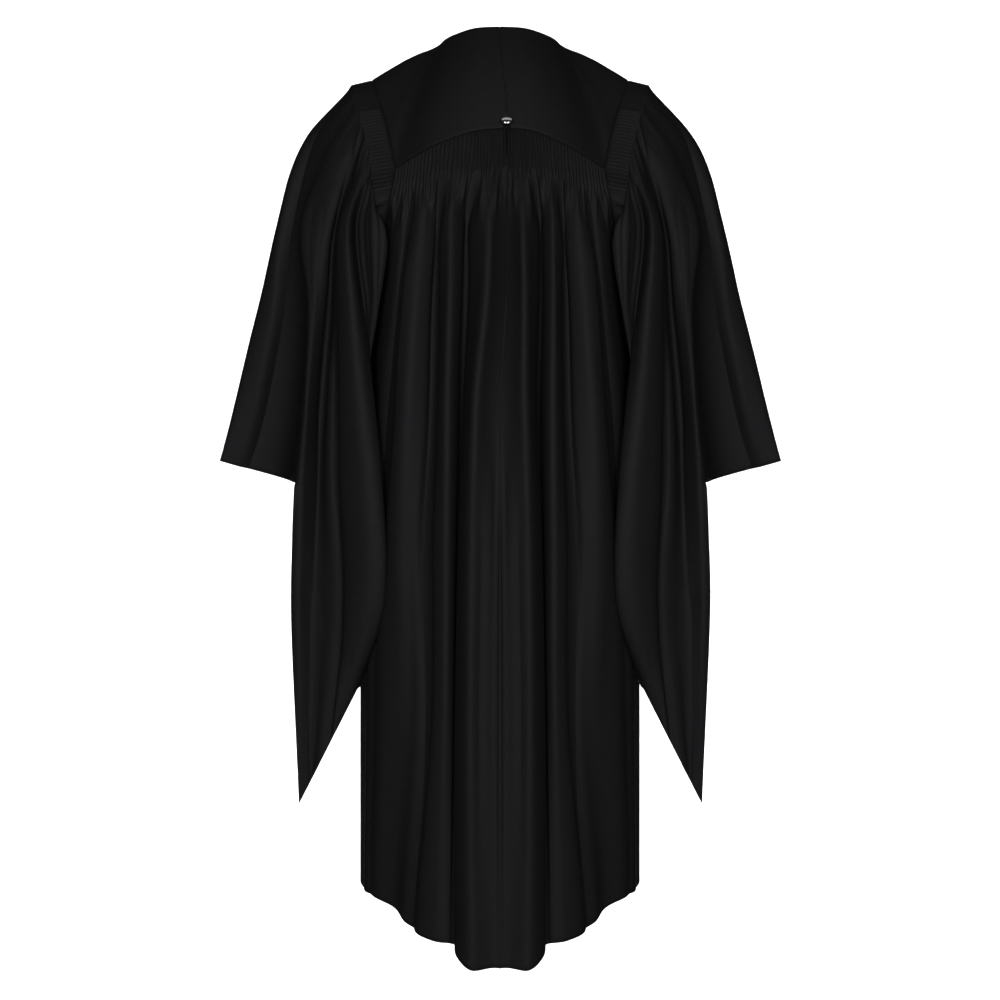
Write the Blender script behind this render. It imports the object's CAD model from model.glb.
# %% [markdown]
# # A masters graduation gown, seen from the back
#
# The gown is black, with a yoke over the shoulders, a back that is gathered into a fluted
# band below the yoke, and long sleeves that hang in a point from a slit for the forearm.
# It keeps the form that it takes when it is worn, with nothing in it.
#
# The lesson builds the cloth as nets of rows and columns. A few measured folds say where
# the cloth lies, smooth curves fill in what is between them, and then flutes, gathers,
# creases and stitches are laid on the sheet. Sizes are in millimetres until a mesh is made.
# Places are x, "back" (how far behind the line across the shoulders) and z.

# %% Frame
import math
from collections import namedtuple

import bpy
import numpy as np
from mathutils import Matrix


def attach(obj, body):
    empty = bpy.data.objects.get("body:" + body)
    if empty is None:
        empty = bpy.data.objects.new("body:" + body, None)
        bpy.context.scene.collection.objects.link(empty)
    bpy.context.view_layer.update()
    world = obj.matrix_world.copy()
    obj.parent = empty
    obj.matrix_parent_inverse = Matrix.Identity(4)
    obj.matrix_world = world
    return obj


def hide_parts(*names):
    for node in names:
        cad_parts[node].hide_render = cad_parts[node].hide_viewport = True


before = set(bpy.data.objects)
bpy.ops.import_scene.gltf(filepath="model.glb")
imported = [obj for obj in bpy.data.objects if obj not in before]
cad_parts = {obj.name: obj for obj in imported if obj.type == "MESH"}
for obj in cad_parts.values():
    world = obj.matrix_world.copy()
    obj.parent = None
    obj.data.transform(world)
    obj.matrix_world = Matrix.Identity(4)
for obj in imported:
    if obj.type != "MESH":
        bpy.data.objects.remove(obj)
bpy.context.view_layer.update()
print("solids in the frame:", ", ".join(sorted(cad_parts)))

# %% [markdown]
# ## Camera
#
# The photo looks level at the back of the gown. The camera stands 2.2 m behind it, at half
# its height, so the whole gown fills a square picture.

# %% Camera
scene = bpy.context.scene
camera_data = bpy.data.cameras.new("camera")
camera_data.sensor_width = 36
camera_data.lens = 62.86
camera_data.clip_end = 30
camera = bpy.data.objects.new("camera", camera_data)
scene.collection.objects.link(camera)
camera.location = (0, -2.2, -0.567)
camera.rotation_euler = (math.radians(90), 0, 0)
scene.camera = camera
print("camera stands at", tuple(round(v, 3) for v in camera.location))

# %% [markdown]
# ## The cut of the gown
#
# Each table gives the left half, as the gown is worn, and the right half mirrors it. The
# yoke is measured along lines from the neck to its outer edge. A fold of the back, the
# front or a sleeve has one row: where it leaves its seam, as a share of the seam, and where
# it lies at each measured height.

# %% Yoke and band sizes
YokeLine = namedtuple("YokeLine", "at neck edge crown")
YOKE_LINES = [
    YokeLine("centre back", (0, 62, 13), (0, 138, -127), 10),
    YokeLine("back", (-30, 59, 12), (-36, 137, -131), 10),
    YokeLine("shoulder blade", (-52, 46, 9), (-83, 126, -147), 9),
    YokeLine("back corner", (-66, 30, 7), (-125, 100, -167), 8),
    YokeLine("back of armhole", (-73, 14, 6), (-137, 70, -113), 6),
    YokeLine("shoulder", (-76, 0, 4.5), (-161, 0, -38), 3),
    YokeLine("front of armhole", (-77, -22, -6), (-149, -50, -70), 4),
    YokeLine("front corner", (-72, -50, -38), (-138, -76, -104), 4),
    YokeLine("front edge", (-66, -74, -84), (-131, -84, -128), 3),
]
CORNER_LINE = 3
SHOULDER_LINE = 5
CHEST_CENTRE = (0, 0, -150)
BAND_FOOT = [(0, 151, -180), (-38, 149, -180), (-85, 137, -184), (-128, 106, -191)]
FLUTES = 31
FLUTE_HEIGHT = 2.3
CENTRE_LEAN = 8
LEAN_REACH = 90
LEAN_FROM, LEAN_UNTIL, LEAN_FADE = 110, 300, 175
SWING_OUT, SWING_FROM, SWING_OVER = 1.2, 230, 260
print(f"{2 * FLUTES} flutes across the back, below a yoke of {2 * len(YOKE_LINES)} lines")

# %% Folds of the back and the front
BODY_LEVELS = [-235, -310, -475, -615, -820]
BodyFold = namedtuple("BodyFold", "at across x back hem")
BACK_FOLDS = [
    BodyFold("centre seam", 0, (0, 0, 0, 0, 0), (154, 162, 184, 205, 223), (0, 230, -1096)),
    BodyFold("beside centre", 0.06, (-8, -9, -10, -10, -14), (160, 170, 186, 199, 215),
             (-9, 227, -1095)),
    BodyFold("inner fold", 0.17, (-20, -22, -31, -35, -36), (174, 186, 205, 219, 235),
             (-35, 242, -1097)),
    BodyFold("inner hollow", 0.33, (-43, -44, -45, -50, -53), (136, 134, 140, 152, 172),
             (-52, 190, -1077)),
    BodyFold("middle fold", 0.46, (-61, -62, -63, -63, -65), (165, 172, 183, 187, 193),
             (-78, 198, -1074)),
    BodyFold("middle hollow", 0.56, (-73, -76, -78, -86, -84), (133, 131, 136, 146, 160),
             (-102, 156, -1067)),
    BodyFold("outer fold", 0.7, (-93, -99, -110, -116, -113), (150, 154, 153, 149, 146),
             (-124, 128, -1052)),
    BodyFold("outer hollow", 0.83, (-110, -117, -131, -140, -142), (124, 122, 122, 112, 106),
             (-150, 92, -1042)),
    BodyFold("side fold", 0.91, (-122, -128, -150, -160, -164), (122, 114, 91, 72, 63),
             (-168, 52, -1043)),
    BodyFold("side", 0.96, (-131, -147, -164, -171, -173), (106, 84, 54, 38, 32),
             (-174, 26, -1045)),
    BodyFold("side seam", 1, (-140, -166, -171, -175, -176), (87, 0, 0, 0, 0),
             (-176, 0, -1046)),
]
FRONT_FOLDS = [
    BodyFold("side seam", 0, (-142, -166, -171, -175, -176), (-70, 0, 0, 0, 0),
             (-176, 0, -1046)),
    BodyFold("side", 0.2, (-138, -160, -165, -168, -169), (-82, -44, -42, -42, -42),
             (-170, -42, -1046)),
    BodyFold("outer fold", 0.4, (-136, -144, -147, -149, -150), (-94, -92, -90, -91, -92),
             (-150, -92, -1047)),
    BodyFold("outer hollow", 0.6, (-118, -119, -122, -124, -124),
             (-92, -94, -99, -104, -108), (-124, -112, -1048)),
    BodyFold("inner fold", 0.8, (-98, -98, -100, -102, -102), (-98, -106, -116, -122, -127),
             (-102, -130, -1050)),
    BodyFold("front edge", 1, (-68, -69, -71, -72, -72), (-86, -92, -102, -108, -114),
             (-72, -118, -1052)),
]
print(f"{len(BACK_FOLDS)} fold lines in each half of the back,",
      f"{len(FRONT_FOLDS)} in each front")

# %% Folds of the sleeve
TOP_LEVELS = [-235, -340, -475]
LOW_LEVEL = -690
SLIT_OUTER, SLIT_INNER = (-357, -517), (-250, -546)
FOOT_POINT, FOOT_HEEL = (-245, -937), (-169, -789)
SleeveFold = namedtuple("SleeveFold", "at around x back")
SLEEVE_FOLDS = [
    SleeveFold("overarm", 0, (-280, -309, -345, -357), (0, 0, 0, 0)),
    SleeveFold("outer hollow", 0.045, (-257, -266, -298, -318), (28, 14, -6, -12)),
    SleeveFold("outer face", 0.065, (-247, -244, -256, -270), (40, 32, 10, -4)),
    SleeveFold("outer edge", 0.09, (-241, -234, -241, -248, -253, -245),
               (62, 80, 96, 98, 86, 74)),
    SleeveFold("strip fold", 0.112, (-214, -222, -231, -235, -241, -238),
               (80, 86, 97, 99, 92, 76)),
    SleeveFold("long hollow", 0.13, (-201, -209, -221, -222, -227, -232),
               (66, 60, 64, 70, 78, 72)),
    SleeveFold("slim fold", 0.15, (-196, -201, -203, -203, -199, -219),
               (84, 84, 92, 97, 99, 81)),
    SleeveFold("slim hollow", 0.165, (-192, -195, -196, -196, -189, -206),
               (90, 88, 92, 97, 98, 85)),
    SleeveFold("main fold", 0.185, (-182, -178, -170, -164, -166, -189),
               (120, 128, 136, 141, 134, 93)),
    SleeveFold("main edge", 0.205, (-175, -165, -146, -138, -135, -169),
               (108, 118, 132, 138, 132, 92)),
    SleeveFold("main return", 0.22, (-172, -163, -150, -144, -143, -172),
               (96, 102, 118, 125, 118, 84)),
    SleeveFold("inner fold", 0.25, (-157, -153, -160, -162, -166, -188),
               (121, 114, 102, 104, 96, 76)),
    SleeveFold("inner edge", 0.285, (-133, -144, -172, -184, -192, -206),
               (121, 114, 80, 84, 82, 70)),
    SleeveFold("inner return", 0.34, (-152, -158, -184, -200, -220, -225),
               (88, 80, 54, 56, 72, 65)),
    SleeveFold("underarm", 0.46, (-182, -186, -192, -208, -249, -243),
               (26, 26, 18, 20, 72, 66)),
    SleeveFold("front inner", 0.6, (-182, -188, -198, -214), (-38, -38, -36, -34)),
    SleeveFold("front hollow", 0.74, (-192, -204, -224, -238), (-74, -70, -64, -60)),
    SleeveFold("front fold", 0.86, (-234, -250, -274, -286), (-68, -68, -66, -62)),
    SleeveFold("front outer", 0.95, (-266, -288, -320, -333), (-36, -36, -36, -34)),
]
OUTER_EDGE, UNDERARM = 3, 14
HEAD_BAND = 27
HEAD_FLUTES, HEAD_FLUTES_FROM, HEAD_FLUTES_TO = 24, 0.095, 0.28
HEAD_FLUTE_HEIGHT = 3.2
HEAD_DROOP, HEAD_DROOP_MORE = 12, 28
DROOP_FROM, DROOP_OVER = 170, 130
HEAD_SWAY = 0.18
LEAST_TO_TOP, LEAST_TO_UPPER = 45, 35
SHOULDER_BULGE, BULGE_AT = (-12, 0, 22), 0.45
BULGE_FROM, BULGE_OVER = 38, 75
print(f"{len(SLEEVE_FOLDS)} fold lines round each sleeve, {HEAD_FLUTES} flutes at its head")

# %% [markdown]
# ## Curves and rows
#
# One kind of smooth curve is used everywhere. It passes through its points, and it bends
# less where two of them are close together.

# %% Curves
def smooth(t):
    t = np.clip(t, 0, 1)
    return t * t * (3 - 2 * t)


def place(point):
    x, back, z = point
    return np.array([x, -back, z], float)


def curve(keys, at, closed=False):
    """Points of the smooth curve through keys, at positions counted in keys."""
    keys = np.asarray(keys, float)
    at = np.asarray(at, float)
    if closed:
        ends = np.concatenate([keys[-1:], keys, keys[:2]])
        last_span = len(keys) - 1
    else:
        before, after = 2 * keys[:1] - keys[1:2], 2 * keys[-1:] - keys[-2:-1]
        ends = np.concatenate([before, keys, after])
        last_span = len(keys) - 2
    span = np.clip(np.floor(at + 1e-9).astype(int), 0, last_span)
    t = (at - span).reshape((-1,) + (1,) * (keys.ndim - 1))
    p0, p1, p2, p3 = (ends[span + i] for i in range(4))

    def gap(a, b):
        return np.maximum(np.linalg.norm(b - a, axis=-1, keepdims=True), 1e-6) ** 0.5

    g0, g1, g2 = gap(p0, p1), gap(p1, p2), gap(p2, p3)
    start = ((p1 - p0) / g0 - (p2 - p0) / (g0 + g1) + (p2 - p1) / g1) * g1
    end = ((p2 - p1) / g1 - (p3 - p1) / (g1 + g2) + (p3 - p2) / g2) * g1
    square = 3 * (p2 - p1) - 2 * start - end
    cube = 2 * (p1 - p2) + start + end
    return p1 + t * (start + t * (square + t * cube))


def positions(shares, at, total=None):
    """Turns shares of a row's width into positions counted in its fold points."""
    knots = list(shares) + ([total] if total else [])
    return np.interp(at, knots, np.arange(len(knots)))


def row_points(points, shares, at, closed=False):
    """A row across fold points: (folds, rows, 3) becomes (rows, columns, 3)."""
    keys = positions(shares, at, 1 if closed else None)
    return np.moveaxis(curve(points, keys, closed), 0, 1)


def softened(net, reach=3, times=2, closed=False):
    """Rows whose points are drawn a little together, all but those near two open ends."""
    if closed:
        ring = softened_ring(net[:, :-1], reach, times)
        return np.concatenate([ring, ring[:, :1]], axis=1)
    count = net.shape[1]
    near_end = np.minimum(np.arange(count), np.arange(count)[::-1])
    for _ in range(times):
        total, weight = net.copy(), np.ones((1, count, 1))
        for shift in range(1, reach + 1):
            for way in (-shift, shift):
                inside = near_end[None, :, None] >= shift
                total += np.where(inside, np.roll(net, way, axis=1), 0)
                weight = weight + inside
        net = total / weight
    return net


def softened_ring(ring, reach, times):
    for _ in range(times):
        shifts = range(-reach, reach + 1)
        ring = sum(np.roll(ring, shift, axis=1) for shift in shifts) / len(shifts)
    return ring


def step_list(counts):
    """Positions down a fold, with a number of steps in each span."""
    parts = [span + np.arange(count) / count for span, count in enumerate(counts)]
    return np.concatenate(parts + [[len(counts)]])


print("a curve through three points:", curve([(0, 0), (1, 1), (2, 0)], [0.5, 1.5]).tolist())

# %% [markdown]
# ## Yoke
#
# The yoke's rows run from the back of the neck to the front edge. Nearer to the outer edge
# they follow two curves that meet in a corner: the arch over the band, and the armhole.

# %% Yoke net
FLUTE_COLUMNS = 8
ARCH = np.linspace(0, 1, FLUTES * FLUTE_COLUMNS + 1)
ARMHOLE_STEPS = 100
YOKE_DOWN = np.concatenate([
    [0, 0.008, 0.016, 0.03], np.linspace(0.07, 0.93, 18), [0.96, 0.975, 0.985, 0.992, 1],
])
line_shares = np.linspace(0, 1, len(YOKE_LINES))
corner = line_shares[CORNER_LINE]
yoke_across = np.concatenate([
    ARCH * corner, corner + np.linspace(0, 1, ARMHOLE_STEPS + 1)[1:] * (1 - corner),
])


def yoke_line(line, down):
    neck, edge = place(line.neck), place(line.edge)
    out = (neck + edge) / 2 - place(CHEST_CENTRE)
    out /= np.linalg.norm(out)
    down = np.asarray(down)[:, None]
    return neck + (edge - neck) * down + out * line.crown * 4 * down * (1 - down)


lines = np.array([yoke_line(line, YOKE_DOWN) for line in YOKE_LINES])
round_rows = row_points(lines, line_shares, yoke_across)
arch_part = row_points(lines[:CORNER_LINE + 1], line_shares[:CORNER_LINE + 1],
                       yoke_across[yoke_across <= corner])
hole_part = row_points(lines[CORNER_LINE:], line_shares[CORNER_LINE:],
                       yoke_across[yoke_across > corner])
cornered_rows = np.concatenate([arch_part, hole_part], axis=1)
cornering = smooth((YOKE_DOWN - 0.75) / 0.25)[:, None, None]
yoke_net = round_rows * (1 - cornering) + cornered_rows * cornering
arch_row, hole_row = yoke_net[-1, :len(ARCH)], yoke_net[-1, len(ARCH) - 1:]
print("yoke net:", yoke_net.shape[0], "rows of", yoke_net.shape[1], "points")

# %% [markdown]
# ## Back
#
# The band hangs from the arch of the yoke, and every flute in it is one small fold. Below
# the band the cloth opens into its large folds. Near the band the net is as fine as the
# flutes, and further down it is coarser.

# %% Back net
BAND_DOWN = np.concatenate([[0, 0.03, 0.07, 0.13], np.linspace(0.2, 1, 15)])
BODY_STEPS = [14, 18, 30, 24, 32, 42]
FINE_ROWS = BODY_STEPS[0] + BODY_STEPS[1] + 4
BODY_ACROSS = np.linspace(0, 1, 151)
foot_shares = np.linspace(0, 1, len(BAND_FOOT))
foot_keys = np.array([place(p) for p in BAND_FOOT])


def band_foot_at(across):
    return curve(foot_keys, positions(foot_shares, across))


def body_fold_keys(fold, start):
    levels = [place(p) for p in zip(fold.x, fold.back, BODY_LEVELS)]
    return np.array([start, *levels, place(fold.hem)])


back_shares = [fold.across for fold in BACK_FOLDS]
starts = band_foot_at(back_shares)
keys = np.array([body_fold_keys(fold, start) for fold, start in zip(BACK_FOLDS, starts)])
back_folds = np.moveaxis(curve(np.moveaxis(keys, 0, 1), step_list(BODY_STEPS)), 0, 1)
down = BAND_DOWN[:, None, None]
band_net = arch_row * (1 - down) + band_foot_at(ARCH) * down
fine_net = softened(row_points(back_folds[:, :FINE_ROWS], back_shares, ARCH), reach=10)
coarse_net = softened(row_points(back_folds[:, FINE_ROWS - 1:], back_shares, BODY_ACROSS),
                      reach=6)
fine_net[0] = band_net[-1]
print("back net:", len(band_net) + len(fine_net) + len(coarse_net) - 2, "rows")

# %% [markdown]
# ## Front
#
# Each front hangs from the front end of the yoke and shares its side seam with the back.

# %% Front net
FRONT_STEPS = [10, 18, 30, 24, 32, 42]
FRONT_ACROSS = np.linspace(0, 1, 61)
yoke_front_end = yoke_net[::-1, -1]
front_top_shares = 1 - YOKE_DOWN[::-1]
front_shares = [fold.across for fold in FRONT_FOLDS]
starts = curve(yoke_front_end, positions(front_top_shares, front_shares))
keys = np.array([body_fold_keys(fold, start) for fold, start in zip(FRONT_FOLDS, starts)])
front_folds = np.moveaxis(curve(np.moveaxis(keys, 0, 1), step_list(FRONT_STEPS)), 0, 1)
to_underarm = FRONT_STEPS[0] + FRONT_STEPS[1]
back_side = np.concatenate([fine_net[:, -1], coarse_net[1:, -1]])
back_underarm = BODY_STEPS[0] + BODY_STEPS[1]
front_folds[0, to_underarm:] = back_side[back_underarm:]
front_net = row_points(front_folds, front_shares, FRONT_ACROSS)
print("front net:", front_net.shape[0], "rows of", front_net.shape[1], "points")

# %% [markdown]
# ## Sleeve
#
# The armhole runs from the shoulder down the back of the yoke, the band and the side of the
# back to the underarm, then up the front and over the shoulder again. The sleeve leaves it
# outwards at the shoulder and falls away below. Under the slit only the back of the sleeve
# goes on, doubled, down to its slanting foot.

# %% Sleeve net
SLEEVE_STEPS = [9, 12, 22, 28, 10]
HANGING_STEPS = [34, 42]
HEAD_DOWN = np.concatenate([[0.03, 0.08, 0.16], np.linspace(0.28, 1, 9)])
shoulder_at = round((line_shares[SHOULDER_LINE] - corner) / (1 - corner) * ARMHOLE_STEPS)
back_side_to_underarm = np.concatenate([band_net[1:, -1], back_side[1:back_underarm]])
armhole = np.concatenate([
    hole_row[:shoulder_at + 1][::-1],
    back_side_to_underarm,
    front_net[:to_underarm + 1, 0][::-1],
    hole_row[shoulder_at:-1][::-1],
])
lengths = np.concatenate([[0], np.cumsum(np.linalg.norm(np.diff(armhole, axis=0), axis=1))])
armhole_shares = lengths / lengths[-1]
columns_in = [12, 8, 10, 8, 8, 8, 8, 10, 8, 8, 10, 10, 12, 14, 16, 16, 14, 12, 8]
sleeve_shares = [fold.around for fold in SLEEVE_FOLDS]
ring_shares = sleeve_shares + [1]
SLEEVE_ACROSS = np.interp(step_list(columns_in), range(len(ring_shares)), ring_shares)
flute_across = np.linspace(HEAD_FLUTES_FROM, HEAD_FLUTES_TO, HEAD_FLUTES * FLUTE_COLUMNS + 1)
plain_across = SLEEVE_ACROSS[(SLEEVE_ACROSS < HEAD_FLUTES_FROM - 0.002)
                             | (SLEEVE_ACROSS > HEAD_FLUTES_TO + 0.002)]
HEAD_ACROSS = np.sort(np.concatenate([plain_across, flute_across]))


def armhole_at(around):
    return np.stack([np.interp(np.mod(around, 1), armhole_shares, armhole[:, i])
                     for i in range(3)], axis=-1)


def sleeve_start(head):
    """The end of the sleeve's gathered head, out from one point of the armhole."""
    low = smooth((-head[2] - DROOP_FROM) / DROOP_OVER)
    droop = math.radians(HEAD_DROOP + HEAD_DROOP_MORE * low)
    sway = -HEAD_SWAY if head[1] < 0 else HEAD_SWAY
    out = np.array([-math.cos(droop), sway * (1 - low), -math.sin(droop)])
    return head + out * HEAD_BAND


def line_height(x, first, second):
    share = (x - first[0]) / (second[0] - first[0])
    return first[1] + share * (second[1] - first[1])


def sleeve_fold_keys(fold, head):
    start = sleeve_start(head)
    top_height = min(TOP_LEVELS[0], head[2] - LEAST_TO_TOP)
    top = place((fold.x[0], fold.back[0], top_height))
    upper_height = min(TOP_LEVELS[1], top[2] - LEAST_TO_UPPER)
    upper = place((fold.x[1], fold.back[1], upper_height))
    elbow = place((fold.x[2], fold.back[2], TOP_LEVELS[2]))
    at_slit = np.clip(fold.x[3], SLIT_OUTER[0], SLIT_INNER[0])
    slit = place((fold.x[3], fold.back[3], line_height(at_slit, SLIT_OUTER, SLIT_INNER)))
    shoulder = 1 - smooth((-head[2] - BULGE_FROM) / BULGE_OVER)
    bulge = np.array(SHOULDER_BULGE) * shoulder
    keys = [start, start + (top - start) * BULGE_AT + bulge, top, upper, elbow, slit]
    if len(fold.x) > 4:
        keys.append(place((fold.x[4], fold.back[4], LOW_LEVEL)))
        foot = line_height(fold.x[5], FOOT_POINT, FOOT_HEEL)
        keys.append(place((fold.x[5], fold.back[5], foot)))
    return np.array(keys)


sleeve_keys = [sleeve_fold_keys(fold, armhole_at(fold.around)) for fold in SLEEVE_FOLDS]
tube_at, hanging_at = step_list(SLEEVE_STEPS), step_list(SLEEVE_STEPS + HANGING_STEPS)
slit_row = sum(SLEEVE_STEPS)
hanging_folds = np.array([
    curve(keys, hanging_at) for keys in sleeve_keys[OUTER_EDGE:UNDERARM + 1]
])
tube_folds = np.array([
    curve(keys, hanging_at)[:slit_row + 1] if len(keys) > 6 else curve(keys, tube_at)
    for keys in sleeve_keys
])
tube_net = row_points(tube_folds, sleeve_shares, SLEEVE_ACROSS, closed=True)
tube_net[1:] = softened(tube_net[1:], closed=True)
head_end = row_points(tube_folds[:, :1], sleeve_shares, HEAD_ACROSS, closed=True)[0]
head_net = np.array([
    armhole_at(HEAD_ACROSS) * (1 - d) + head_end * d for d in HEAD_DOWN
])
low_shares = sleeve_shares[OUTER_EDGE:UNDERARM + 1]
in_hanging = ((SLEEVE_ACROSS > low_shares[0] - 1e-9) & (SLEEVE_ACROSS < low_shares[-1] + 1e-9))
HANGING_ACROSS = SLEEVE_ACROSS[in_hanging]
hanging_net = softened(row_points(hanging_folds[:, slit_row:], low_shares, HANGING_ACROSS))
hanging_net[0] = tube_net[-1, in_hanging]
print("sleeve nets:", head_net.shape[:2], tube_net.shape[:2], hanging_net.shape[:2])

# %% [markdown]
# ## Sheets
#
# A sheet joins its rows with faces. Two rows with the same columns are joined with
# squares, and two that differ with triangles. Each corner keeps its place on the flat
# cloth, across and down, which the weave needs later.

# %% Sheets
Row = namedtuple("Row", "across points down")


def rows_of(net, across, start=0.0):
    """Rows of a net, with how far down the cloth each point lies."""
    steps = np.linalg.norm(np.diff(net, axis=0), axis=2)
    down = np.vstack([np.zeros(net.shape[1]), np.cumsum(steps, axis=0)]) + start
    return [Row(across, points, d) for points, d in zip(net, down)]


def joined(first, second, a, b):
    """Faces between two rows whose points are numbered from a and from b."""
    if len(first.across) == len(second.across):
        return [(a + i, b + i, b + i + 1, a + i + 1) for i in range(len(first.across) - 1)]
    faces, i, j = [], 0, 0
    upper, lower = np.append(first.across, np.inf), np.append(second.across, np.inf)
    while i < len(first.across) - 1 or j < len(second.across) - 1:
        if upper[i + 1] <= lower[j + 1]:
            faces.append((a + i, b + j, a + i + 1))
            i += 1
        else:
            faces.append((a + i, b + j, b + j + 1))
            j += 1
    return faces


def sheet_of(row_groups, turned=False):
    """One sheet from groups of rows. Points that fall together are joined."""
    points, across, down, faces, rows = [], [], [], [], []
    count = 0
    for group in row_groups:
        for i, row in enumerate(group):
            points.append(row.points)
            across.append(row.across)
            down.append(row.down)
            rows.append(np.arange(count, count + len(row.across)))
            if i:
                faces += joined(group[i - 1], row, count - len(group[i - 1].across), count)
            count += len(row.across)
    if turned:
        faces = [face[::-1] for face in faces]
    return {
        "points": np.concatenate(points), "across": np.concatenate(across),
        "down": np.concatenate(down), "faces": faces, "rows": rows,
    }


def continued(net, across, rows):
    """Rows that go on from the last of some rows, also with other columns."""
    start = np.interp(across, rows[-1].across, rows[-1].down)
    return rows_of(net, across, start)[1:]


band_rows = rows_of(band_net, ARCH)
fine_rows = continued(fine_net, ARCH, band_rows)
back_rows = band_rows + fine_rows + continued(coarse_net, BODY_ACROSS, fine_rows)
front_top = Row(front_top_shares, yoke_front_end, np.zeros(len(front_top_shares)))
front_rest = rows_of(front_net, FRONT_ACROSS)[1:]
armhole_row = Row(armhole_shares, armhole, np.zeros(len(armhole)))
head_rows = [Row(HEAD_ACROSS, p, np.full(len(p), d * HEAD_BAND))
             for p, d in zip(head_net, HEAD_DOWN)]
tube_rows = continued(tube_net, SLEEVE_ACROSS, head_rows)
hanging_start = tube_rows[-1].down[in_hanging]
hanging_rows = rows_of(hanging_net, HANGING_ACROSS, hanging_start)
left = {
    "yoke": sheet_of([rows_of(yoke_net, yoke_across)], turned=True),
    "back": sheet_of([back_rows], turned=True),
    "front": sheet_of([[front_top] + front_rest], turned=True),
    "sleeve": sheet_of([[armhole_row] + head_rows + tube_rows, hanging_rows]),
}
for name, sheet in left.items():
    print(f"{name}: {len(sheet['points'])} points, {len(sheet['faces'])} faces")

# %% [markdown]
# ## The two halves
#
# The right half is the mirror image. Then the middle of the back leans a little to one
# side, as it does in the photo, and the right sleeve swings 1.2 mm further out, as the
# part's own solid does. The facing of the cloth at a point is worked out over all sheets
# that meet there, so that two pieces rise alike along a seam.

# %% Halves and facings
def mirrored(sheet):
    return {**sheet, "points": sheet["points"] * (-1, 1, 1),
            "faces": [face[::-1] for face in sheet["faces"]]}


def lean(points):
    x, y, z = points.T
    height = smooth(-z / LEAN_FROM) * (1 - smooth((-z - LEAN_UNTIL) / LEAN_FADE))
    nearness = 1 - smooth(np.abs(x) / LEAN_REACH)
    points[:, 0] = x + CENTRE_LEAN * height * nearness * (y < 0)


def triangles_of(faces):
    return np.array([(f[0], f[i], f[i + 1]) for f in faces for i in range(1, len(f) - 1)])


def swing(points):
    """The right sleeve hangs a little further out than the left one."""
    points[:, 0] += SWING_OUT * smooth((-points[:, 2] - SWING_FROM) / SWING_OVER)


sheets = {}
for name, sheet in left.items():
    sheets[f"{name}_left"] = sheet
    sheets[f"{name}_right"] = mirrored(sheet)
for sheet in sheets.values():
    sheet["points"] = sheet["points"].copy()
    lean(sheet["points"])
swing(sheets["sleeve_right"]["points"])

every_point = np.concatenate([sheet["points"] for sheet in sheets.values()])
spots, spot_of = np.unique(np.round(every_point, 2), axis=0, return_inverse=True)
spot_of = spot_of.ravel()
facing = np.zeros((len(spots), 3))
first = 0
for sheet in sheets.values():
    sheet["spot"] = spot_of[first:first + len(sheet["points"])]
    first += len(sheet["points"])
    a, b, c = (sheet["points"][corner] for corner in triangles_of(sheet["faces"]).T)
    normal = np.cross(b - a, c - a)
    for corner in triangles_of(sheet["faces"]).T:
        np.add.at(facing, sheet["spot"][corner], normal)
facing /= np.maximum(np.linalg.norm(facing, axis=1, keepdims=True), 1e-9)
for sheet in sheets.values():
    sheet["facing"] = facing[sheet["spot"]]
print("points that sheets share:", len(every_point) - len(spots))

# %% [markdown]
# ## Relief
#
# What is finer than the measured folds is raised from the sheet along its facing. First
# come the flutes of the band and of the sleeve heads, which die out unevenly below it.

# %% Flutes
def flute_wave(share, count, narrow=0.55):
    return (0.5 - 0.5 * np.cos(2 * np.pi * count * share)) ** narrow


def back_flutes(sheet, side):
    across, down = sheet["across"], sheet["down"]
    band = 50 + 5 * np.sin(across * 11 + side)
    uneven = 1 + 0.2 * np.sin(across * 61 + side) * np.sin(across * 23 + 2 * side)
    fade = 12 + 8 * np.sin(across * 33 + side) + 5 * np.sin(across * 71 + 2 * side)
    held = smooth(down / 5) * np.exp(-np.maximum(down - band, 0) / np.maximum(fade, 4))
    wander = 0.004 * np.sin(down / 11 + across * 40) * smooth(down / 30)
    return FLUTE_HEIGHT * uneven * held * flute_wave(across + wander, FLUTES)


def head_flutes(sheet, side):
    across, down = sheet["across"], sheet["down"]
    inside = (across - HEAD_FLUTES_FROM) / (HEAD_FLUTES_TO - HEAD_FLUTES_FROM)
    ends = smooth(inside * 12) * smooth((1 - inside) * 12)
    fade = 13 + 7 * np.sin(across * 90 + side)
    held = smooth(down / 4) * np.exp(-np.maximum(down - HEAD_BAND, 0) / fade)
    return HEAD_FLUTE_HEIGHT * ends * held * flute_wave(np.clip(inside, 0, 1), HEAD_FLUTES)


print("flutes stand up to", FLUTE_HEIGHT, "mm high")

# %% [markdown]
# Cloth folds are rounder on their ridges than in their hollows. So the cloth between a
# ridge and a hollow is filled out a little, most of all near the hollow.

# %% Fullness of the folds
Fullness = namedtuple("Fullness", "ridge hollow swell")
BACK_FULLNESS = [
    Fullness(0.17, 0.33, 6.0), Fullness(0.46, 0.33, 5.0), Fullness(0.46, 0.56, 4.0),
    Fullness(0.7, 0.56, 4.5), Fullness(0.7, 0.83, 4.0), Fullness(0.91, 0.83, 2.5),
]
SLEEVE_FULLNESS = [
    Fullness(0.112, 0.13, 2.0), Fullness(0.185, 0.165, 5.0), Fullness(0.205, 0.22, 2.0),
]


def fullness(sheet, rows, start, grow):
    """How far the cloth swells between ridges and hollows, growing below start."""
    across, down = sheet["across"], sheet["down"]
    total = np.zeros(len(across))
    for row in rows:
        t = np.clip((across - row.ridge) / (row.hollow - row.ridge), 0, 1)
        total += row.swell * np.sin(np.pi * t ** 1.5) ** 1.2
    return total * smooth((down - start) / grow)


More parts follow.
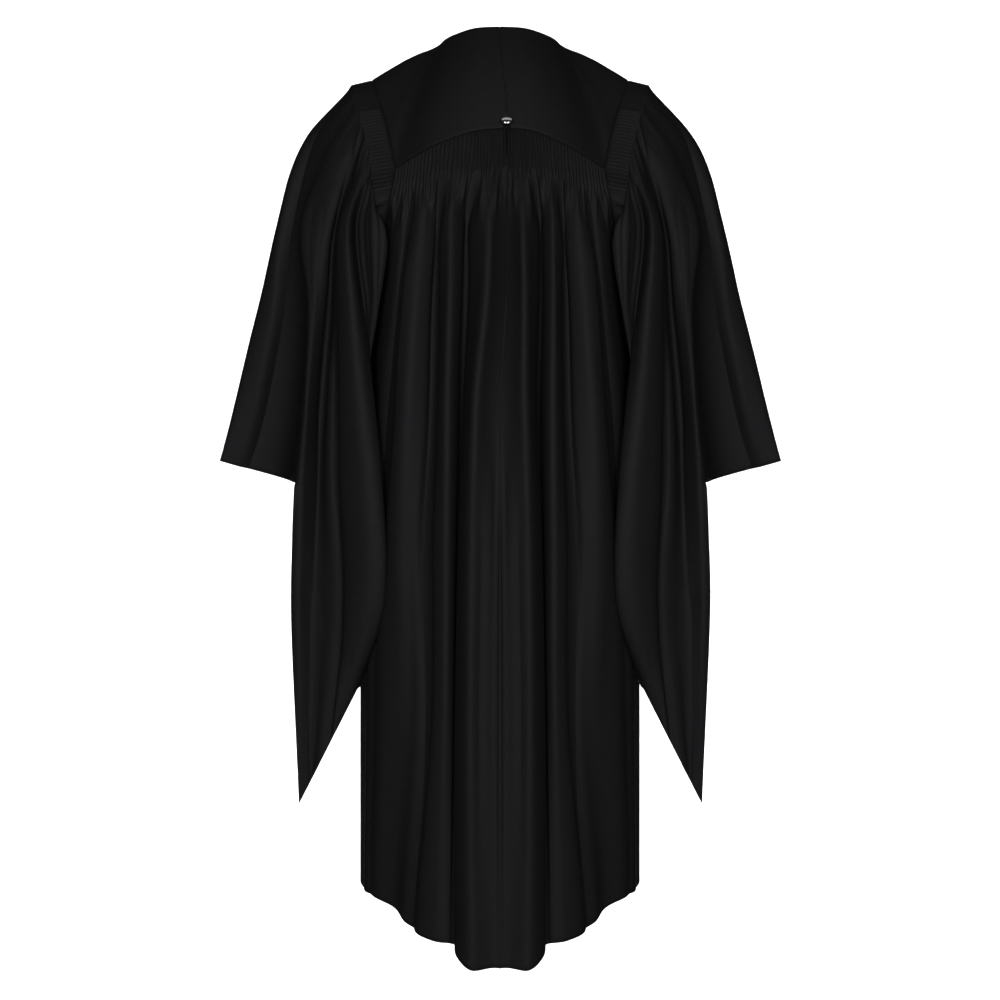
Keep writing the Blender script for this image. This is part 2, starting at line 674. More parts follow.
print(len(BACK_FULLNESS) + len(SLEEVE_FULLNESS), "swells between ridges and hollows")

# %% [markdown]
# Gathers and creases are placed by hand. Each is a soft ridge (raised above 0) or trough
# (below 0) that runs from one place of the cloth to another and thins out at its ends.
# "Across" is the share of the sheet's width and "down" is in millimetres from its seam.
# "Bow" lets a crease swing sideways, and "side" is -1 for the left half only, 1 for the
# right half only and 0 for both.

# %% Gathers and creases
Crease = namedtuple("Crease", "side across down to_across to_down bow wide raised")


def creases(rows):
    return [Crease(*row) for row in rows]


BACK_CREASES = creases([
    # gathers just under the band
    (0, 0.033, 46, 0.028, 88, 0.004, 5, -4.3), (-1, 0.09, 44, 0.115, 120, 0.01, 7, 3.2),
    (1, 0.1, 46, 0.09, 110, -0.008, 6, 2.6), (-1, 0.145, 45, 0.19, 104, 0.0, 5, -4.9),
    (1, 0.15, 47, 0.165, 98, 0.0, 5, -4.1), (0, 0.215, 45, 0.215, 130, 0.006, 7, 3.0),
    (0, 0.29, 43, 0.325, 118, 0.0, 8, -7.2), (-1, 0.255, 46, 0.27, 92, 0.0, 4.5, -3.8),
    (1, 0.245, 48, 0.26, 84, 0.004, 5, 2.4), (-1, 0.37, 46, 0.385, 96, 0.0, 5, 3.0),
    (1, 0.36, 44, 0.385, 108, 0.0, 5.5, 3.2), (0, 0.425, 44, 0.43, 86, 0.004, 4.5, -3.8),
    (0, 0.5, 46, 0.475, 92, 0.0, 5, -3.5), (0, 0.545, 42, 0.56, 126, 0.0, 8, -6.4),
    (-1, 0.6, 44, 0.615, 90, 0.003, 5, 2.8), (1, 0.605, 45, 0.6, 82, 0.0, 5, 2.6),
    (0, 0.655, 45, 0.66, 84, 0.0, 4.5, -3.5), (-1, 0.72, 46, 0.7, 78, 0.0, 4, -2.9),
    (1, 0.74, 44, 0.73, 92, 0.0, 5, -3.8), (0, 0.79, 42, 0.82, 112, 0.0, 7, -6.7),
    (-1, 0.86, 43, 0.865, 92, 0.004, 5, 2.8), (1, 0.87, 42, 0.85, 88, 0.0, 5, 2.6),
    (0, 0.91, 40, 0.92, 92, 0.0, 5, -4.1), (0, 0.955, 36, 0.94, 80, 0.0, 4, 2.2),
    # the large folds: their ridges and hollows
    (0, 0.45, 90, 0.445, 900, 0.0, 15, 3.0), (0, 0.7, 100, 0.7, 900, 0.004, 15, 3.0),
    (0, 0.9, 120, 0.88, 860, 0.0, 17, 3.4), (0, 0.335, 60, 0.33, 900, 0.0, 13, -6.5),
    (0, 0.565, 60, 0.56, 900, 0.0, 12, -6.5), (0, 0.83, 70, 0.82, 520, 0.0, 13, -6.0),
    (0, 0.83, 480, 0.835, 1100, 0.0, 20, 7.0), (0, 0.25, 90, 0.25, 860, 0.004, 16, -2.0),
    (0, 0.17, 80, 0.17, 520, 0.0, 15, 2.6),
    # long soft creases between them
    (0, 0.075, 340, 0.07, 980, 0.0, 12, 2.4), (0, 0.022, 330, 0.02, 980, 0.0, 9, -2.0),
    (0, 0.12, 400, 0.125, 960, 0.0, 14, -2.2), (0, 0.0, 380, 0.0, 980, 0.0, 6, 1.6),
    (-1, 0.5, 100, 0.51, 330, 0.0, 12, -1.8), (1, 0.51, 120, 0.5, 300, 0.004, 12, -1.6),
    (-1, 0.755, 110, 0.79, 330, 0.006, 12, 2.2), (1, 0.765, 100, 0.78, 280, -0.004, 12, 2.0),
    (-1, 0.64, 420, 0.65, 820, 0.008, 18, -2.4), (1, 0.63, 460, 0.64, 860, -0.01, 18, -2.4),
    (-1, 0.76, 560, 0.77, 920, 0.0, 20, 2.2), (1, 0.77, 620, 0.76, 920, 0.0, 20, 2.2),
])
SLEEVE_CREASES = creases([
    # gathers under the sleeve head, towards the shoulder and the back
    (0, 0.105, 24, 0.1, 92, 0.003, 6, -3.4), (0, 0.13, 26, 0.128, 76, 0.0, 5, 3.0),
    (-1, 0.15, 25, 0.142, 112, -0.003, 6, -3.4), (1, 0.148, 25, 0.138, 98, 0.0, 6, -3.2),
    (0, 0.17, 26, 0.163, 94, 0.0, 5, 2.8), (-1, 0.192, 26, 0.183, 70, 0.0, 4, -2.6),
    (1, 0.195, 26, 0.186, 84, 0.0, 4.5, -2.6), (0, 0.213, 26, 0.208, 78, 0.0, 4.5, 2.4),
    (0, 0.217, 24, 0.216, 260, 0.0, 8, -4.4), (0, 0.232, 26, 0.231, 230, 0.0, 6, 3.2),
    (0, 0.243, 24, 0.242, 210, 0.0, 6, -4.0), (0, 0.258, 26, 0.258, 200, 0.002, 9, 2.6),
    (0, 0.277, 22, 0.275, 190, 0.0, 7, -4.2), (0, 0.287, 2, 0.292, 90, 0.0, 3.5, -3.4),
    (0, 0.297, 2, 0.304, 80, 0.002, 3.5, 2.6), (0, 0.307, 2, 0.318, 70, 0.0, 3.5, -3.0),
    (-1, 0.07, 30, 0.062, 120, 0.0, 8, -2.2), (1, 0.075, 30, 0.067, 100, 0.0, 8, -2.0),
    # ridges and hollows of the hanging folds
    (0, 0.1, 130, 0.1, 330, 0.003, 12, -3.0), (0, 0.077, 120, 0.078, 360, 0.0, 12, 3.6),
    (-1, 0.12, 80, 0.12, 300, 0.0, 8, 2.8), (1, 0.119, 100, 0.12, 320, 0.0, 8, 2.8),
    (0, 0.132, 120, 0.133, 470, 0.0, 8, -5.0), (0, 0.146, 260, 0.146, 640, 0.0, 8, 2.6),
    (0, 0.16, 200, 0.16, 560, 0.0, 7, -3.4), (0, 0.184, 120, 0.185, 560, 0.0, 15, 3.0),
    (-1, 0.205, 260, 0.203, 520, 0.0, 9, -1.6), (1, 0.204, 240, 0.203, 500, 0.0, 9, -1.6),
    (-1, 0.1, 470, 0.108, 800, 0.004, 14, 2.4), (1, 0.102, 440, 0.106, 780, -0.003, 14, 2.2),
    (0, 0.125, 560, 0.128, 900, 0.0, 12, -3.0), (-1, 0.155, 640, 0.15, 900, 0.0, 12, 2.0),
    (1, 0.15, 660, 0.148, 900, 0.0, 12, 2.0), (0, 0.175, 600, 0.165, 860, 0.003, 12, -2.4),
    # outer strip and the deep hollow behind it
    (0, 0.02, 60, 0.018, 600, 0.0, 18, 9.0), (0, 0.047, 40, 0.064, 600, 0.0, 17, -14.0),
    (0, 0.034, 90, 0.035, 640, 0.0, 10, 8.0), (0, 0.053, 90, 0.056, 640, 0.0, 11, -10.0),
    (0, 0.066, 170, 0.078, 660, 0.0, 19, -11.0), (0, 0.09, 130, 0.092, 520, 0.0, 9, 4.0),
    (-1, 0.012, 60, 0.014, 330, 0.004, 16, 1.4), (1, 0.01, 80, 0.015, 350, -0.003, 16, 1.4),
    (-1, 0.985, 90, 0.98, 350, 0.004, 16, 2.2), (1, 0.98, 110, 0.985, 370, 0.0, 16, 2.2),
    # front of the sleeve, under the arm and inside the fold
    (-1, 0.91, 60, 0.905, 380, 0.006, 15, -2.6), (1, 0.92, 70, 0.9, 360, -0.006, 15, -2.6),
    (0, 0.8, 50, 0.81, 340, 0.008, 14, 2.6), (-1, 0.76, 80, 0.75, 300, 0.0, 10, -2.4),
    (1, 0.765, 70, 0.77, 320, 0.0, 10, -2.2), (-1, 0.68, 60, 0.66, 260, 0.0, 12, 2.4),
    (1, 0.69, 50, 0.67, 240, 0.0, 12, 2.2), (0, 0.56, 50, 0.54, 220, 0.0, 12, -2.6),
    (-1, 0.4, 120, 0.4, 420, 0.01, 14, 2.4), (1, 0.39, 140, 0.4, 460, -0.01, 14, 2.4),
    (0, 0.33, 260, 0.32, 620, 0.0, 10, -1.8),
])
FRONT_CREASES = creases([
    (-1, 0.28, 30, 0.3, 420, 0.02, 14, -2.6), (1, 0.3, 40, 0.27, 460, -0.02, 14, -2.4),
    (-1, 0.48, 20, 0.5, 620, 0.02, 13, 2.6), (1, 0.46, 30, 0.5, 560, 0.0, 13, 2.6),
    (0, 0.7, 16, 0.7, 300, 0.02, 12, -2.2), (-1, 0.86, 60, 0.84, 520, 0.0, 13, 1.8),
    (1, 0.88, 90, 0.85, 480, 0.0, 13, 1.8), (-1, 0.62, 520, 0.64, 930, 0.0, 15, -2.2),
    (1, 0.6, 560, 0.62, 930, 0.0, 15, -2.2), (0, 0.38, 480, 0.36, 900, 0.02, 15, 2.2),
    (0, 0.12, 200, 0.14, 700, 0.0, 14, 2.0),
])
YOKE_CREASES = creases([
    (-1, 0.1, 40, 0.16, 118, 0.0, 16, 0.9), (1, 0.14, 36, 0.1, 120, 0.0, 16, 0.8),
    (0, 0.42, 20, 0.45, 84, 0.0, 12, -0.8), (0, 0.63, 14, 0.6, 70, 0.0, 12, 0.9),
    (0, 0.82, 16, 0.84, 60, 0.0, 10, -0.8),
])
SHEET_WIDTH = {"yoke": 330, "back": 330, "front": 150, "sleeve": 900}


def creased(sheet, rows, side, sheet_width):
    """The relief of hand-placed creases at every point of a sheet."""
    across, down = sheet["across"], sheet["down"]
    total = np.zeros(len(across))
    for row in rows:
        if row.side == -side:
            continue
        t = (down - row.down) / (row.to_down - row.down)
        inside = np.clip(t, 0, 1)
        middle = row.across + (row.to_across - row.across) * inside
        middle = middle + row.bow * np.sin(np.pi * inside)
        ends = smooth(t / 0.22) * smooth((1 - t) / 0.45)
        off = (across - middle) * sheet_width / row.wide
        total += row.raised * ends * np.exp(-off * off)
    return total


print(len(BACK_CREASES + SLEEVE_CREASES + FRONT_CREASES + YOKE_CREASES), "creases in all")

# %% [markdown]
# Where the yoke is sewn on, its edge is turned under. It stands a little higher than the
# cloth beside it, and the seam itself is a fine groove. The centre seams are grooves too.

# %% Seams
def groove(distance, deep, wide):
    return -deep * np.exp(-(distance / wide) ** 2)


def yoke_seams(sheet):
    down = np.repeat(YOKE_DOWN, len(yoke_across))
    turned_edge = 0.15 * smooth((down - 0.93) / 0.04) - 0.25 * smooth((down - 0.985) / 0.015)
    centre = groove(sheet["across"] * SHEET_WIDTH["yoke"], 0.9, 1.3)
    return turned_edge + centre


def back_seams(sheet):
    centre = groove(sheet["across"] * SHEET_WIDTH["back"], 1.0, 2.2)
    return centre * smooth((sheet["down"] - 45) / 20) + groove(sheet["down"], 0.8, 1.5)


def sleeve_seams(sheet):
    return groove(sheet["down"], 0.8, 1.5)


def relief_of(kind, sheet, side):
    width = SHEET_WIDTH[kind]
    if kind == "back":
        return (back_flutes(sheet, side) + fullness(sheet, BACK_FULLNESS, 60, 80)
                + creased(sheet, BACK_CREASES, side, width) + back_seams(sheet))
    if kind == "sleeve":
        return (head_flutes(sheet, side) + fullness(sheet, SLEEVE_FULLNESS, 60, 90)
                + creased(sheet, SLEEVE_CREASES, side, width) + sleeve_seams(sheet))
    if kind == "yoke":
        return creased(sheet, YOKE_CREASES, side, width) + yoke_seams(sheet)
    return creased(sheet, FRONT_CREASES, side, width)


for name, sheet in sheets.items():
    kind, hand = name.split("_")
    sheet["raised"] = relief_of(kind, sheet, -1 if hand == "left" else 1)
    sheet["outer"] = sheet["points"] + sheet["facing"] * sheet["raised"][:, None]
    print(f"{name}: relief from {sheet['raised'].min():.1f} to {sheet['raised'].max():.1f} mm")

# %% [markdown]
# ## Cloth shells
#
# Every sheet becomes a closed shell. Its outside is the sheet with its relief, and its
# inside lies one thickness in from the sheet without its relief. That leaves a fault: where
# a trough is deeper than the thickness, the outside passes through the inside, and the
# trough shows only one thickness deep.

# %% Shells
CLOTH_THICK = 0.9
TO_METRES = 0.001


def in_scene(name, mesh):
    """Shades a mesh smoothly and puts it in the scene as an object."""
    mesh.polygons.foreach_set("use_smooth", np.ones(len(mesh.polygons), bool))
    thing = bpy.data.objects.new(name, mesh)
    scene.collection.objects.link(thing)
    return thing


def rim_of(faces):
    """Edges that one face alone uses, in the order of that face."""
    edges = {}
    for face in faces:
        for start, end in zip(face, face[1:] + face[:1]):
            if (end, start) in edges:
                del edges[(end, start)]
            else:
                edges[(start, end)] = True
    return list(edges)


def shell(name, sheet, cut_width):
    _, first_at, point_of = np.unique(sheet["spot"], return_index=True, return_inverse=True)
    point_of = point_of.ravel()
    outer = sheet["outer"][first_at]
    inner = sheet["points"][first_at] - sheet["facing"][first_at] * CLOTH_THICK
    count = len(outer)
    faces, corners = [], []
    for face in sheet["faces"]:
        ring = [int(point_of[i]) for i in face]
        keep = [i for i in range(len(ring)) if ring[i] != ring[i - 1]]
        if len(keep) > 2:
            faces.append(tuple(ring[i] for i in keep))
            corners.append(tuple(face[i] for i in keep))
    rim = rim_of(faces)
    whole = faces + [tuple(i + count for i in face[::-1]) for face in faces]
    whole += [(a, a + count, b + count, b) for a, b in rim]
    any_corner = dict(zip(point_of.tolist(), range(len(point_of))))
    whole_corners = corners + [corner[::-1] for corner in corners]
    whole_corners += [(any_corner[a], any_corner[a], any_corner[b], any_corner[b])
                      for a, b in rim]
    mesh = bpy.data.meshes.new(name)
    mesh.from_pydata((np.concatenate([outer, inner]) * TO_METRES).tolist(), [], whole)
    flat = np.array([i for corner in whole_corners for i in corner])
    layer = mesh.uv_layers.new(name="cloth")
    places = np.stack([sheet["across"][flat] * cut_width, sheet["down"][flat] * TO_METRES], 1)
    layer.data.foreach_set("uv", places.ravel())
    mesh.validate()
    return in_scene(name, mesh)


Cut = namedtuple("Cut", "width length area held")
CUTS = {
    "yoke": Cut(0.30, 0.21, 0.040, "draped"),
    "back": Cut(0.46, 0.98, 0.44, "gathered"),
    "front": Cut(0.20, 1.00, 0.17, "hung"),
    "sleeve": Cut(0.86, 0.95, 0.42, "gathered"),
}
gown = {}
for name, sheet in sheets.items():
    cut = CUTS[name.split("_")[0]]
    gown[name] = shell(f"{name}_cloth", sheet, cut.width)
    print(gown[name].name, len(gown[name].data.polygons), "faces")

# %% [markdown]
# ## Button and hood loop
#
# A glossy button sits on the yoke's centre seam, where the hood is hooked on. A cord loop
# lies round its shank and hangs over the middle of the band.

# %% Button
CENTRE_BACK = [(0, 135.6, -118.7), (0, 138, -127), (0, 151, -180)]
BUTTON_FACING = (0, 0.957, 0.289)
SEAM_GAP = 0.3
BUTTON_PROFILE = [
    (0, 0), (2, 0), (2, 2.6), (5.8, 2.6), (6.8, 3.2), (7.25, 4.2), (7.03, 5.2),
    (6.5, 5.8), (5.9, 6.05), (5.2, 6.3), (2.6, 6.9), (0, 7),
]


def lathe(name, profile, turns=64):
    points = [(r * math.cos(2 * math.pi * i / turns), h, r * math.sin(2 * math.pi * i / turns))
              for r, h in profile for i in range(turns)]
    faces = [(row * turns + i, (row + 1) * turns + i, (row + 1) * turns + (i + 1) % turns,
              row * turns + (i + 1) % turns)
             for row in range(len(profile) - 1) for i in range(turns)]
    mesh = bpy.data.meshes.new(name)
    mesh.from_pydata(points, [], faces)
    mesh.validate()
    return mesh


out = place(BUTTON_FACING)
out /= np.linalg.norm(out)
seat = place(CENTRE_BACK[0]) + (CENTRE_LEAN, 0, 0) + out * SEAM_GAP
side_way = np.array([1.0, 0, 0])
up_way = np.cross(side_way, out)
button_curve = curve(BUTTON_PROFILE, np.linspace(0, len(BUTTON_PROFILE) - 1, 45))
button_mesh = lathe("button_top", button_curve.tolist())
turn = np.stack([side_way, out, up_way], axis=1)
places = np.array([v.co for v in button_mesh.vertices]) @ turn.T + seat
button_mesh.vertices.foreach_set("co", (places * TO_METRES).ravel())
button = in_scene("button_top", button_mesh)
print("button seat at", np.round(seat, 1).tolist())

# %% Hood loop
CORD_THICK = 2.0
LoopPoint = namedtuple("LoopPoint", "side down lift")
LOOP_HALF = [
    LoopPoint(3.2, 0, 1.3), LoopPoint(3, 5, 1.9), LoopPoint(2.5, 10, 3.5),
    LoopPoint(2.4, 20, 3.6), LoopPoint(2.4, 30, 3.6), LoopPoint(2.6, 38, 3.6),
    LoopPoint(3.4, 44, 3.6), LoopPoint(4, 48.5, 3.6), LoopPoint(3.2, 52, 3.7),
    LoopPoint(0, 54, 3.8),
]


def over_cloth(down_from_seat):
    top, edge, foot = (place(p) for p in CENTRE_BACK)
    z = top[2] - down_from_seat
    upper, lower = (top, edge) if z > edge[2] else (edge, foot)
    return upper + (lower - upper) * (z - upper[2]) / (lower[2] - upper[2])


def loop_side(way):
    return [over_cloth(p.down) + (CENTRE_LEAN + way * p.side, 0, 0) + out * p.lift
            for p in LOOP_HALF]


loop_keys = loop_side(-1) + loop_side(1)[::-1][1:]
loop_line = curve(loop_keys, np.linspace(0, len(loop_keys) - 1, 260))


def twisted_cord(name, line, thick, plies=3, pitch=6.0, corners=24):
    """A closed tube along line, with plies that turn round it once in every pitch."""
    along = np.gradient(line, axis=0)
    along /= np.linalg.norm(along, axis=1, keepdims=True)
    side = np.cross(along, out)
    side /= np.linalg.norm(side, axis=1, keepdims=True)
    up = np.cross(side, along)
    gone = np.concatenate([[0], np.cumsum(np.linalg.norm(np.diff(line, axis=0), axis=1))])
    turn = np.arange(corners) * 2 * np.pi / corners
    ply = np.abs(np.cos(plies / 2 * (turn[None] - gone[:, None] * 2 * np.pi / pitch)))
    radius = thick / 2 * (0.8 + 0.2 * ply)
    rings = (line[:, None] + side[:, None] * (radius * np.cos(turn))[:, :, None]
             + up[:, None] * (radius * np.sin(turn))[:, :, None])
    count = len(line)
    faces = [(i * corners + j, i * corners + (j + 1) % corners,
              (i + 1) * corners + (j + 1) % corners, (i + 1) * corners + j)
             for i in range(count - 1) for j in range(corners)]
    faces += [tuple(range(corners))[::-1],
              tuple((count - 1) * corners + j for j in range(corners))]
    mesh = bpy.data.meshes.new(name)
    mesh.from_pydata((rings.reshape(-1, 3) * TO_METRES).tolist(), [], faces)
    return in_scene(name, mesh), gone[-1]


loop, loop_length = twisted_cord("hood_loop_cord", loop_line, CORD_THICK)
print(f"hood loop: {loop_length:.1f} mm of cord, {CORD_THICK} mm thick")

# %% [markdown]
# ## Materials
#
# Colours are given as they look on a screen, and one function turns them into the linear
# values that a shader adds up.

# %% Materials
def linear(hex_colour):
    values = [int(hex_colour[i:i + 2], 16) / 255 for i in (1, 3, 5)]
    return tuple(v / 12.92 if v <= 0.04045 else ((v + 0.055) / 1.055) ** 2.4
                 for v in values) + (1.0,)


def new_material(name):
    material = bpy.data.materials.new(name)
    material.use_nodes = True
    material.node_tree.nodes.clear()
    return material


def node(owner, kind, inputs=None, links=None, **settings):
    """Adds a node to a material or a tree, with its settings, values and what feeds it."""
    tree = getattr(owner, "node_tree", owner)
    made = tree.nodes.new(kind)
    for key, value in settings.items():
        setattr(made, key, value)
    for key, value in (inputs or {}).items():
        made.inputs[key].default_value = value
    for key, source in (links or {}).items():
        tree.links.new(source, made.inputs[key])
    return made


def wave(material, source, pitch):
    """A ripple from -1 to 1 that repeats every pitch, in metres of cloth."""
    turned = node(material, "ShaderNodeMath", {1: 2 * math.pi / pitch}, {0: source},
                  operation="MULTIPLY")
    return node(material, "ShaderNodeMath", None, {0: turned.outputs[0]}, operation="SINE")


def finish_material(material, shader_inputs, links):
    shader = node(material, "ShaderNodeBsdfPrincipled", shader_inputs, links)
    node(material, "ShaderNodeOutputMaterial", None, {"Surface": shader.outputs["BSDF"]})
    return material


# Black gown cloth: a closely woven wool and polyester cloth, piece-dyed and pressed, so
# that it is matt with a faint sheen on its folds. Cloth is no metal. The half-metal value
# with a black tint is a setting for the look alone: it gives folds a soft change of tone
# and no bright rim. The threads are drawn 0.8 mm apart, coarser than the real 0.35 mm, so
# that they can be seen at all.
gown_cloth = new_material("black_gown_cloth")
THREAD_PAIR = 0.0016
coords = node(gown_cloth, "ShaderNodeUVMap", uv_map="cloth")
split = node(gown_cloth, "ShaderNodeSeparateXYZ", None, {0: coords.outputs[0]})
warp = wave(gown_cloth, split.outputs["X"], THREAD_PAIR)
weft = wave(gown_cloth, split.outputs["Y"], THREAD_PAIR)
weave = node(gown_cloth, "ShaderNodeMath", None, {0: warp.outputs[0], 1: weft.outputs[0]},
             operation="MULTIPLY")
where = node(gown_cloth, "ShaderNodeTexCoord")
fibre = node(gown_cloth, "ShaderNodeTexNoise", {"Scale": 420.0, "Detail": 3.0},
             {"Vector": where.outputs["Object"]})
both = node(gown_cloth, "ShaderNodeMath", {1: 0.35},
            {0: weave.outputs[0], 2: fibre.outputs["Fac"]}, operation="MULTIPLY_ADD")
bump = node(gown_cloth, "ShaderNodeBump", {"Strength": 0.45, "Distance": 0.0003},
            {"Height": both.outputs[0]})
shade = node(gown_cloth, "ShaderNodeMix", {"Factor": 0.5, "A": linear("#0f0f10"),
                                           "B": linear("#151516")},
             None, data_type="RGBA")
gown_cloth.node_tree.links.new(fibre.outputs["Fac"], shade.inputs["Factor"])
finish_material(
    gown_cloth,
    {"Roughness": 0.66, "Metallic": 0.55, "Specular Tint": (0, 0, 0, 1),
     "Specular IOR Level": 0.0},
    {"Base Color": [s for s in shade.outputs if s.type == "RGBA"][0],
     "Normal": bump.outputs["Normal"]},
)

# Button: moulded black plastic, polished, with a smooth dome
button_gloss = finish_material(
    new_material("polished_black_button"),
    {"Base Color": linear("#070708"), "Roughness": 0.12, "Coat Weight": 0.6,
     "Coat Roughness": 0.05}, None,
)

# Hood loop: three-ply black rayon cord, twisted, a little shinier than the cloth
loop_cord = finish_material(
    new_material("black_twisted_cord"),
    {"Base Color": linear("#0f0f10"), "Roughness": 0.55, "Metallic": 0.6,
     "Specular Tint": (0, 0, 0, 1), "Specular IOR Level": 0.0}, None,
)
print("materials:", gown_cloth.name, button_gloss.name, loop_cord.name)

# %% [markdown]
# ## Stitches
#
# Stitches repeat along lines of sewing, so Geometry Nodes lay them. Each line is a run of
# points on the cloth. The tree walks along it, puts one short rounded stitch at every step
# and turns it along the line. Its sizes are inputs with names, and the small unevenness of
# hand work comes from a fixed seed. The result is turned into a plain mesh.

# %% Lines of sewing
StitchLine = namedtuple("StitchLine", "name sheet place_at pitch length")
STITCH_LINES = [
    StitchLine("yoke edge", "yoke", 0.965, 2.6, 1.9),
    StitchLine("upper gauging", "back", 9, 3.4, 1.5),
    StitchLine("middle gauging", "back", 27, 3.4, 1.5),
    StitchLine("lower gauging", "back", 45, 3.4, 1.5),
    StitchLine("overarm hem", "sleeve", 16, 6.0, 1.6),
]
THREAD_THICK = 0.35
HEM_UNTIL, HEM_AGAIN_FROM = 0.09, 0.5


def crossing(sheet, columns, level):
    """Points where each column of a sheet passes a level, in the sheet's outer face."""
    line = []
    for column in columns:
        at = np.interp(level, sheet["down"][column], np.arange(len(column)))
        first = min(int(at), len(column) - 2)
        near, far = sheet["outer"][column[first]], sheet["outer"][column[first + 1]]
        line.append(near + (far - near) * (at - first))
    return np.array(line)


def column_lists(sheet, rows, width):
    return np.array([row for row in sheet["rows"][:rows] if len(row) == width]).T


def sewing_line(row, hand):
    sheet = sheets[f"{row.sheet}_{hand}"]
    if row.sheet == "yoke":
        which = int(np.argmin(np.abs(YOKE_DOWN - row.place_at)))
        return sheet["outer"][sheet["rows"][which]]
    if row.sheet == "back":
        columns = column_lists(sheet, len(BAND_DOWN) + 6, len(ARCH))
        return crossing(sheet, columns, row.place_at)
    hem_row = sheet["rows"][len(HEAD_DOWN) + slit_row]
    above = sheet["rows"][len(HEAD_DOWN) + slit_row - 3]
    in_front = SLEEVE_ACROSS > HEM_AGAIN_FROM
    outside = (SLEEVE_ACROSS < HEM_UNTIL) | in_front
    order = np.argsort(np.where(in_front, SLEEVE_ACROSS - 1, SLEEVE_ACROSS)[outside])
    edge, higher = sheet["outer"][hem_row[outside]], sheet["outer"][above[outside]]
    way = (higher - edge) / np.linalg.norm(higher - edge, axis=1, keepdims=True)
    return (edge + way * row.place_at)[order]


lines_of_sewing = {
    f"{row.name} {hand}": (row, sewing_line(row, hand))
    for row in STITCH_LINES for hand in ("left", "right")
}
print(len(lines_of_sewing), "lines of sewing")

# %% [markdown]
# The node tree has three inputs with names besides the line itself: how far apart the
# stitches are, how long one is and how thick the thread is.

# %% Stitch tree
def stitch_tree(material):
    tree = bpy.data.node_groups.new("stitches_along_a_line", "GeometryNodeTree")
    face = tree.interface
    face.new_socket("Geometry", in_out="INPUT", socket_type="NodeSocketGeometry")
    sockets = {name: face.new_socket(name, in_out="INPUT", socket_type="NodeSocketFloat")
               for name in ("Stitch pitch", "Stitch length", "Thread thickness")}
    face.new_socket("Geometry", in_out="OUTPUT", socket_type="NodeSocketGeometry")

    def add(kind, inputs=None, links=None, **settings):
        return node(tree, kind, inputs, links, **settings)

    given = add("NodeGroupInput").outputs
    line = add("GeometryNodeMeshToCurve", None, {"Mesh": given["Geometry"]})
    steps = add("GeometryNodeCurveToPoints", None,
                {"Curve": line.outputs["Curve"], "Length": given["Stitch pitch"]},
                mode="LENGTH")
    stitch = add("GeometryNodeMeshIcoSphere", {"Radius": 0.5, "Subdivisions": 2})
    size = add("ShaderNodeCombineXYZ", None,
               {"X": given["Thread thickness"], "Y": given["Thread thickness"],
                "Z": given["Stitch length"]})
    one_stitch = add("GeometryNodeTransform", None,
                     {"Geometry": stitch.outputs["Mesh"], "Scale": size.outputs["Vector"]})
    uneven = add("FunctionNodeRandomValue", {"Seed": 7}, data_type="FLOAT")
    uneven.inputs[2].default_value, uneven.inputs[3].default_value = 0.85, 1.1
    placed = add("GeometryNodeInstanceOnPoints", None,
                 {"Points": steps.outputs["Points"], "Instance": one_stitch.outputs["Geometry"],
                  "Rotation": steps.outputs["Rotation"], "Scale": uneven.outputs[1]})
    real = add("GeometryNodeRealizeInstances", None, {"Geometry": placed.outputs["Instances"]})
    dressed = add("GeometryNodeSetMaterial", None, {"Geometry": real.outputs["Geometry"]})
    dressed.inputs["Material"].default_value = material
    end = add("NodeGroupOutput")
    tree.links.new(dressed.outputs["Geometry"], end.inputs["Geometry"])
    return tree, {name: socket.identifier for name, socket in sockets.items()}


def sewn(name, row, points, tree, sockets):
    """The stitches of one line as a plain mesh object."""
    mesh = bpy.data.meshes.new(name + "_line")
    edges = [(i, i + 1) for i in range(len(points) - 1)]
    mesh.from_pydata((points * TO_METRES).tolist(), edges, [])
    guide = bpy.data.objects.new(name + "_line", mesh)
    bpy.context.scene.collection.objects.link(guide)
    modifier = guide.modifiers.new("stitches", "NODES")
    modifier.node_group = tree
    for socket, value in (("Stitch pitch", row.pitch), ("Stitch length", row.length),
                          ("Thread thickness", THREAD_THICK)):
        modifier[sockets[socket]] = value * TO_METRES
    seen = guide.evaluated_get(bpy.context.evaluated_depsgraph_get())
    plain = bpy.data.meshes.new_from_object(seen)
    bpy.data.objects.remove(guide)
    bpy.data.meshes.remove(mesh)
    thing = bpy.data.objects.new(name, plain)
    bpy.context.scene.collection.objects.link(thing)
    return thing


# Black sewing thread: polyester, a little smoother than the cloth around it
sewing_thread = finish_material(
    new_material("black_sewing_thread"),
    {"Base Color": linear("#0e0e0f"), "Roughness": 0.6, "Metallic": 0.5,
     "Specular Tint": (0, 0, 0, 1), "Specular IOR Level": 0.0}, None,
)
tree, stitch_sockets = stitch_tree(sewing_thread)
stitches = [
    sewn(name.replace(" ", "_") + "_stitches", row, points, tree, stitch_sockets)
    for name, (row, points) in lines_of_sewing.items()
]
for thing in stitches:
    print(thing.name, len(thing.data.polygons), "faces")

# %% [markdown]
# ## What each piece stands for
#
# The cloth pieces state their flat cut, so that the size of the finished cloth can be
# checked against it.

# %% Pieces
for name, thing in gown.items():
    thing.data.materials.append(gown_cloth)
    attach(thing, "root")
    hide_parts(name)
for name, thing in gown.items():
    cut = CUTS[name.split("_")[0]]

button.data.materials.append(button_gloss)
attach(button, "root")
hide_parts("button")
loop.data.materials.append(loop_cord)
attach(loop, "root")
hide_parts("hood_loop")
for thing in stitches:
    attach(thing, "root")
print("pieces:", len(gown) + 2 + len(stitches))

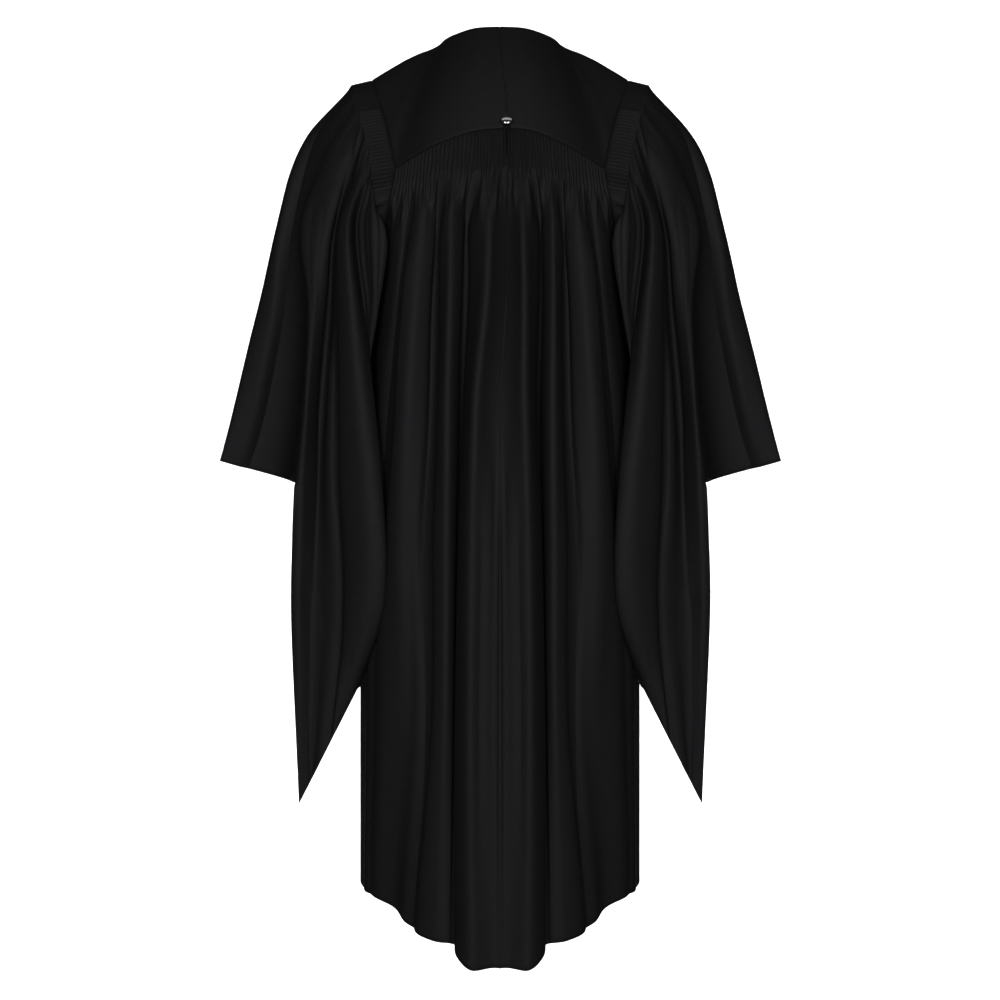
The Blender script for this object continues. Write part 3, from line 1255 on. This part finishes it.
# %% [markdown]
# ## Studio
#
# A plain pale floor that curves up into a wall, and broad soft lights.

# %% Studio
def studio_floor(front=-4.0, back=1.6, height=-1.43, radius=0.9, top=3.2, half_width=4.5):
    bend = [(back + radius * math.sin(t), height + radius * (1 - math.cos(t)))
            for t in np.linspace(0, math.pi / 2, 25)]
    line = [(front, height)] + bend + [(back + radius, top)]
    points = [(x, y, z) for y, z in line for x in (-half_width, half_width)]
    faces = [(2 * i, 2 * i + 1, 2 * i + 3, 2 * i + 2) for i in range(len(line) - 1)]
    mesh = bpy.data.meshes.new("floor")
    mesh.from_pydata(points, [], faces)
    return in_scene("floor", mesh)


def soft_light(name, place_at, aim, size, watts, spread=180):
    data = bpy.data.lights.new(name, "AREA")
    data.shape = "RECTANGLE"
    data.size, data.size_y = size
    data.energy = watts
    data.spread = math.radians(spread)
    light = bpy.data.objects.new(name, data)
    scene.collection.objects.link(light)
    light.location = place_at
    way = np.array(aim, float) - place_at
    light.rotation_euler = (
        math.atan2(math.hypot(way[0], way[1]), -way[2]), 0, math.atan2(-way[0], way[1]),
    )
    return light


floor = studio_floor()
floor.data.materials.append(finish_material(
    new_material("pale_floor"), {"Base Color": linear("#f4f4f4"), "Roughness": 0.9}, None,
))
middle = (0, 0, -0.55)
lights = [
    soft_light("key_left", (-0.65, -2.95, 0.0), middle, (0.8, 0.8), 84),
    soft_light("key_right", (0.65, -2.95, 0.0), middle, (0.8, 0.8), 76),
    soft_light("top_light", (0.0, -1.9, 1.3), (0, 0, -0.15), (3.2, 0.6), 28),
    soft_light("wall_light", (0, 0.7, 2.5), (0, 2.4, -1.0), (4.0, 0.6), 75, spread=80),
    soft_light("front_light", (0.0, 1.35, 1.35), (0, 0, -0.6), (1.2, 0.5), 30),
]
world = bpy.data.worlds.new("studio")
scene.world = world
world.use_nodes = True
world.node_tree.nodes["Background"].inputs["Color"].default_value = linear("#ffffff")
world.node_tree.nodes["Background"].inputs["Strength"].default_value = 0.09
scene.view_settings.view_transform = "Standard"
print("lights:", ", ".join(light.name for light in lights))
